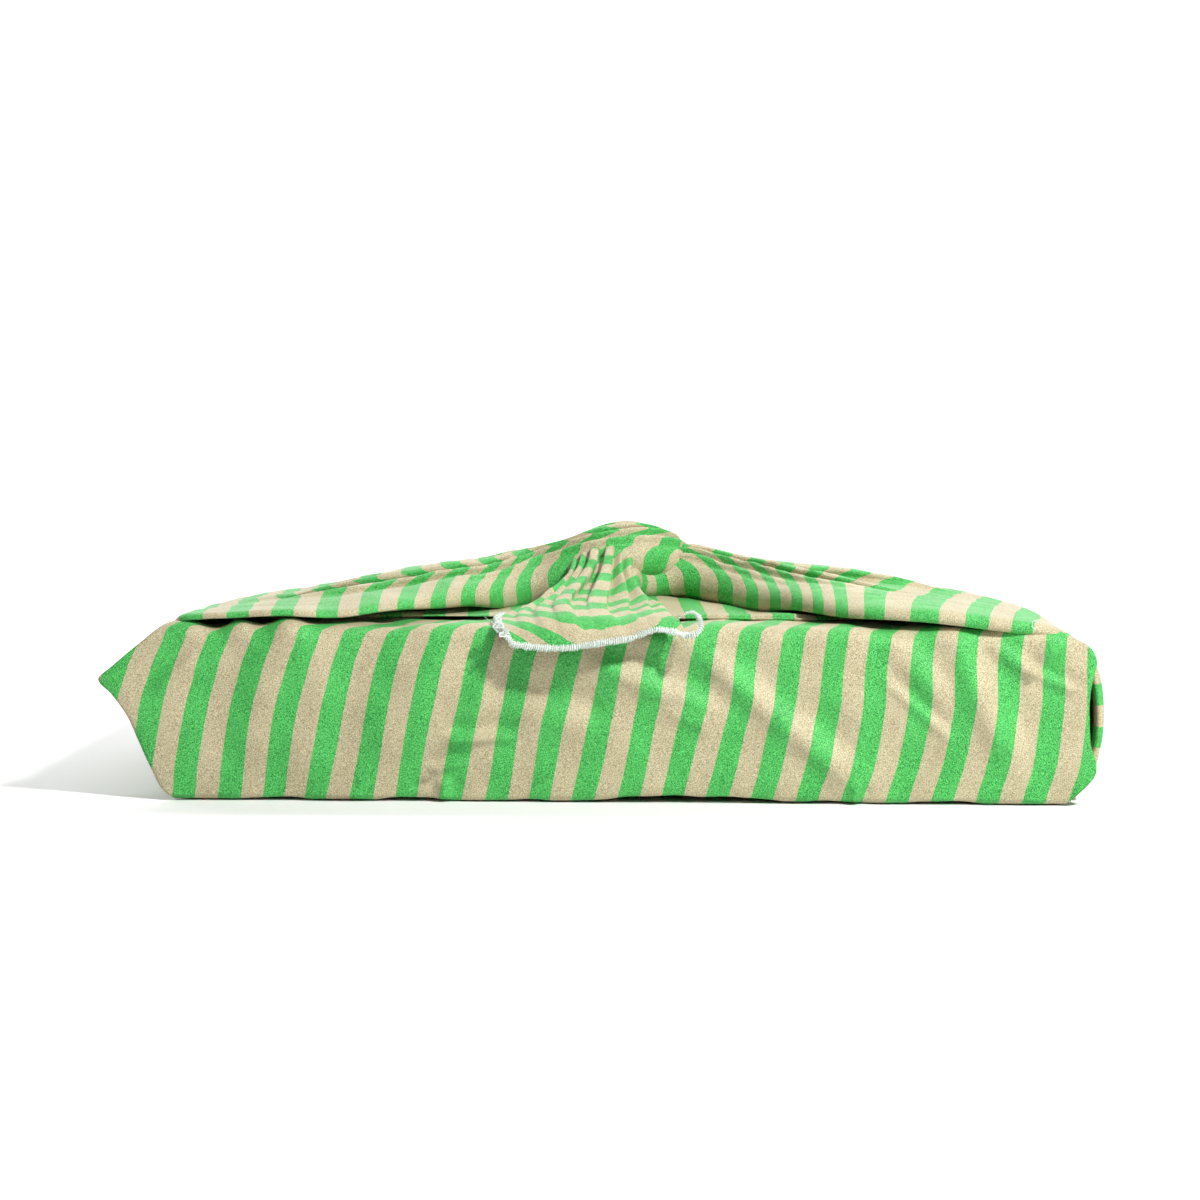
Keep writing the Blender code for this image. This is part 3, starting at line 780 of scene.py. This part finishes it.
# The chain that runs on past the front tail's right corner: x, y, z, how thick it is against the edge
CHAIN_CURL = (
    (27.3, -124.9, 77.3, 0.95),
    (30.6, -125.0, 79.0, 0.9),
    (31.8, -124.0, 82.3, 0.85),
    (30.3, -122.2, 86.0, 0.75),
    (27.6, -120.6, 87.6, 0.5),
    (24.6, -118.8, 86.6, 0.3),
    (21.4, -116.8, 83.9, 0.2),
)
# The tangle's two clumps: x, y, z of the middle, reach along x, y and z, number of turns, seed
TANGLE = (
    ((-59.0, -120.2, 80.2), (2.6, 1.2, 2.4), 7, 3),
    ((-56.3, -122.2, 77.5), (2.2, 1.0, 1.6), 6, 7),
)
# Loose ends: x, y, z of the start, then the direction and the length
LOOSE_ENDS = (
    (-61.3, -120.0, 81.6, -0.6, -0.2, 0.8, 5.5),
    (-56.8, -122.2, 79.2, 0.9, -0.3, 0.4, 4.5),
    (-58.8, -121.4, 80.0, 0.3, -0.5, 1.0, 6.5),
    (-54.8, -123.4, 75.6, 0.5, -0.2, -0.8, 4.0),
    (26.0, -123.8, 74.0, -0.4, -0.2, -0.9, 4.5),
)
LINT_AT = (182.6, -111.2, 83.0)  # one curled bit of thread, caught on the cloth near the front right corner
TANGLE_THREAD, END_THREAD, LINT_THREAD = 0.33, 0.16, 0.2  # radii
# The thread's second colour is painted shade for its hollows, greyed and tinted by the cloth's green between
# the stitches
THREAD_WHITE, THREAD_SHADED_GREEN = (0.82, 0.86, 0.82), (0.42, 0.54, 0.42)
TWIST_SCALE, TONE_SCALE = 1800.0, 140.0  # how many twists of the yarn and changes of tone to a metre


def even_path(points, gap):
    """The path resampled at equal steps, with how far along it each new point is."""
    length = run_along(points)
    at = np.arange(0, length[-1], gap)
    return np.stack([np.interp(at, length, column) for column in points.T], axis=1), at


def square_to(along, facing):
    """The part of facing that is square to along, 1 long."""
    return unit(facing - along * np.sum(facing * along, axis=1)[:, None])


def thread(points, facing, radius, sides=5):
    """A round thread along points; facing is a direction off the thread at each of them."""
    along = unit(np.gradient(points, axis=0))
    up = square_to(along, facing)
    across = np.cross(along, up)
    turn = np.linspace(0, 2 * math.pi, sides + 1)
    round_it = up[:, None] * np.cos(turn)[:, None] + across[:, None] * np.sin(turn)[:, None]
    radius = np.broadcast_to(np.asarray(radius, float), (len(points),))[:, None, None]
    grid = points[:, None] + round_it * radius
    flat = np.stack(np.meshgrid(np.arange(len(points)) * 1.0, turn, indexing="ij"), axis=-1)
    return grid, flat


def overlock(path, facing, thick, seed):
    """The stitches over an edge: a flat bead with one thread wound over it, uneven as a machine leaves it."""
    both, at = even_path(np.concatenate([path, facing, thick[:, None]], axis=1), STITCH_STEP)
    path, facing, thick = both[:, :3], both[:, 3:6], both[:, 6:]
    along = unit(np.gradient(path, axis=0))
    facing = square_to(along, facing)
    beside = np.cross(along, facing)

    def waver(size, draw):
        """Unevenness along the edge, size long."""
        return ripple(at, 0 * at, size, draw)[:, None]

    uneven = 1 + 0.13 * waver(3.6, seed) + 0.10 * waver(1.5, seed + 1)
    wide, high = BEAD_HALF_WIDTH * thick * uneven, BEAD_HALF_THICK * thick * uneven
    turn = np.linspace(0, 2 * math.pi, 9)
    every = slice(None, None, BEAD_EVERY)
    bead = path[every, None] + BEAD_CORE[0] * (beside * wide)[every, None] * np.cos(turn)[:, None]
    bead = bead + BEAD_CORE[1] * (facing * high)[every, None] * np.sin(turn)[:, None]
    flat = np.stack(np.meshgrid(at[every], turn, indexing="ij"), axis=-1)
    phase = at[:, None] * 2 * math.pi / STITCH_PITCH + 1.3 * waver(6, seed + 2) + 0.8 * waver(1.9, seed + 4)
    proud = (PROUD + 0.10 * waver(0.8, seed + 3)) * thick
    off = beside * (wide + proud) * np.cos(phase) + facing * (high + proud) * np.sin(phase)
    wound = thread(path + off, off, STITCH_THREAD * thick[:, 0])
    return [(bead, flat), wound]


def tail_edge(points, outward, both_sides):
    """A tail's raw edge and which way it faces: down its first side, along its end and perhaps back up."""
    top = slice(UNDER_COLUMNS, -UNDER_COLUMNS)
    side = slice(-STITCHED_ROWS, -1)
    path = [points[side, UNDER_COLUMNS], points[-1, top]]
    facing = [outward[side, UNDER_COLUMNS], outward[-1, top]]
    if both_sides:
        path.append(points[side, -UNDER_COLUMNS - 1][::-1])
        facing.append(outward[side, -UNDER_COLUMNS - 1][::-1])
    return np.concatenate(path), np.concatenate(facing)


def clump(middle, reach, turns, seed):
    """A little clump of thread, wound to and fro about its middle."""
    way = np.linspace(0, 2 * math.pi, 40 * turns)
    a, b, c = np.random.default_rng(seed).uniform(0, FULL_TURN, 3)
    x = reach[0] * np.sin(way * turns + a) * np.cos(0.7 * way + b)
    y = reach[1] * np.cos(way * (turns - 2) + c)
    z = reach[2] * np.sin(way * (turns - 1) + b) * np.cos(0.5 * way + a)
    points = np.array(middle) + np.stack([x, y, z], axis=1)
    return thread(points, points - np.array(middle) + 0.01, TANGLE_THREAD)


def edge_stitching():
    """The stitches along both tails, and the empty chain that runs on from the front one."""
    front_path, front_face = tail_edge(right_points, right_out, both_sides=False)
    curl = np.array(CHAIN_CURL)
    step = np.linspace(0, len(curl) - 1, 60)
    curl = flow(np.column_stack([np.arange(len(curl)), curl]), step)
    curl_face = np.stack([0.3 * np.cos(step), -1 + 0 * step, 0.3 * np.sin(step)], axis=1)
    path = np.concatenate([front_path, curl[:, :3]])
    facing = np.concatenate([front_face, curl_face])
    thick = np.concatenate([np.ones(len(front_path)), curl[:, 3]])
    back_path, back_face = tail_edge(left_points, left_out, both_sides=True)
    front_stitches = overlock(path, facing, thick, seed=41)
    back_stitches = overlock(back_path, back_face, np.ones(len(back_path)), seed=51)
    return grid_mesh("overlocked_edge", front_stitches + back_stitches)


def loose_threads():
    """The tangle, the loose ends, each swaying its own way, and the bit of lint."""
    grids = [clump(*row) for row in TANGLE]
    for k, (x, y, z, dx, dy, dz, reach) in enumerate(LOOSE_ENDS):
        way = np.linspace(0, 1, 26)
        lean = unit(np.array((dx, dy, dz)))
        sway = np.stack([np.sin(4 * way + k), 0 * way, np.cos(5 * way + 2 * k) - math.cos(2 * k)], axis=1)
        points = np.array((x, y, z)) + lean * reach * way[:, None] + sway * way[:, None] * 0.9
        facing = np.tile((0.2, -1, 0.1), (len(way), 1))
        grids.append(thread(points, facing, END_THREAD * (1 - 0.5 * way), sides=4))
    way = np.linspace(0, 5.2, 30)
    curl = np.stack([1.1 * np.cos(way), -0.15 * way, 1.5 * np.sin(way) - 0.2 * way], axis=1)
    facing = np.tile((0.1, -1, 0.1), (len(way), 1))
    grids.append(thread(np.array(LINT_AT) + curl, facing, LINT_THREAD, sides=4))
    return grid_mesh("loose_threads", grids)


def white_thread():
    """Soft white cotton thread, with painted shade in its hollows, tinted by the cloth's green that shows
    there.
    """
    material, shader, wire = new_material("white_thread", 0.65, Sheen_Weight=0.3, Sheen_Roughness=0.5)
    place = wire.node("TexCoord", out=OBJECT_PLACE)
    twist = wire.node("TexNoise", Vector=place, Scale=TWIST_SCALE, Detail=2.0)
    tone = wire.node("TexNoise", Vector=place, Scale=TONE_SCALE, Detail=1.0)
    # Where the twist is low, which is where the bump below sinks it, the colour goes to the painted shade of
    # the hollows
    shown = wire.maths("ADD", (twist - 0.42) * 5.0, tone * 0.5, clamp=True)
    colour = shown.blend(rgba(THREAD_SHADED_GREEN), rgba(THREAD_WHITE))
    bump = wire.node("Bump", Strength=0.35, Distance=0.0001, Height=twist)
    feed(shader, Base_Color=colour, Normal=bump)
    return material


edge, loose = edge_stitching(), loose_threads()
white = white_thread()
for piece in (edge, loose):
    piece.data.materials.append(white)
    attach(piece, "root")


# ---- The studio -------------------------------------------------------------------------------------------
# A white paper sweep with a wide lamp of its own, so that it shows plain white. The key is a small soft box
# high in front at the right, with weaker ones at the right, overhead and behind at the left. The camera
# stands a little above the parcel, face on.

CAMERA_AWAY = 1350.0  # from the parcel's front face
CAMERA_HEIGHT = 194.0
CAMERA_SIDE = -13.5  # x of the camera and of the point that it aims at
AIM_HEIGHT = 92.0  # of that point, on the front face
VIEW_WIDTH = 540.0  # how much it sees at the front face, from left to right
ROLL = 0.4  # how far it is turned about its line of sight, in degrees
# The sweep, in metres: where its floor starts, where it begins to curve up, the curve's radius, its height
# and half of its width
SWEEP_START, SWEEP_CURVES, SWEEP_RADIUS, SWEEP_HEIGHT, SWEEP_HALF = -3.0, 2.2, 1.2, 4.0, 5.0
SWEEP_STEPS = 12  # of the curve
FLOOR = -0.0004  # just under the parcel's foot, in metres


def sweep():
    """The floor and its curve up into the backdrop."""
    profile = [(SWEEP_START, FLOOR), (SWEEP_CURVES, FLOOR)]
    for step in range(1, SWEEP_STEPS + 1):
        turn = math.radians(90 * step / SWEEP_STEPS)
        forward, up = SWEEP_RADIUS * math.sin(turn), SWEEP_RADIUS - SWEEP_RADIUS * math.cos(turn)
        profile.append((SWEEP_CURVES + forward, up))
    profile.append((SWEEP_CURVES + SWEEP_RADIUS, SWEEP_HEIGHT))
    vertices = [(x, y, z) for y, z in profile for x in (-SWEEP_HALF, SWEEP_HALF)]
    faces = [(2 * k, 2 * k + 1, 2 * k + 3, 2 * k + 2) for k in range(len(profile) - 1)]
    mesh = bpy.data.meshes.new("paper_sweep")
    mesh.from_pydata(vertices, [], faces)
    mesh.shade_smooth()
    thing = bpy.data.objects.new("paper_sweep", mesh)
    bpy.context.scene.collection.objects.link(thing)
    paper, shader, _ = new_material("paper", 0.9)
    shader.inputs["Base Color"].default_value = (0.86, 0.86, 0.86, 1)
    thing.data.materials.append(paper)
    return thing


def soft_box(name, place, target, size, power):
    """A rectangular lamp at place, turned to target; metres and watts."""
    lamp = bpy.data.lights.new(name, "AREA")
    lamp.shape = "RECTANGLE"
    lamp.size, lamp.size_y = size
    lamp.energy = power
    thing = bpy.data.objects.new(name, lamp)
    thing.location = place
    thing.rotation_euler = (Vector(target) - Vector(place)).to_track_quat("-Z", "Y").to_euler()
    bpy.context.scene.collection.objects.link(thing)


sweep()
soft_box("key", (0.60, -0.76, 0.88), (0, 0, 0.04), (0.12, 0.12), 17)
soft_box("fill", (1.2, -0.9, 0.4), (0, 0, 0.05), (0.7, 0.7), 1.2)
soft_box("top", (-0.1, -0.45, 1.5), (0, 0, 0.05), (0.3, 0.2), 1.5)
soft_box("back", (-1.3, 0.7, 0.7), (0, 0, 0.05), (0.5, 0.5), 3)
soft_box("backdrop", (0.0, 1.4, 2.6), (0, 3.2, 1.0), (4.0, 1.5), 190)

world = bpy.data.worlds.new("studio")
world.use_nodes = True
world.node_tree.nodes["Background"].inputs["Color"].default_value = (1, 1, 1, 1)
world.node_tree.nodes["Background"].inputs["Strength"].default_value = 0.25
bpy.context.scene.world = world
bpy.context.scene.view_settings.view_transform = "Standard"

lens = bpy.data.cameras.new("camera")
lens.sensor_width = 36.0
lens.lens = lens.sensor_width * CAMERA_AWAY / VIEW_WIDTH
camera = bpy.data.objects.new("camera", lens)
camera.location = (CAMERA_SIDE * MM, -(DEPTH_HALF + CAMERA_AWAY) * MM, CAMERA_HEIGHT * MM)
aim = Vector((CAMERA_SIDE, -DEPTH_HALF, AIM_HEIGHT)) * MM
look = (aim - camera.location).to_track_quat("-Z", "Y").to_euler()
look.rotate_axis("Z", math.radians(ROLL))
camera.rotation_euler = look
bpy.context.scene.collection.objects.link(camera)
bpy.context.scene.camera = camera
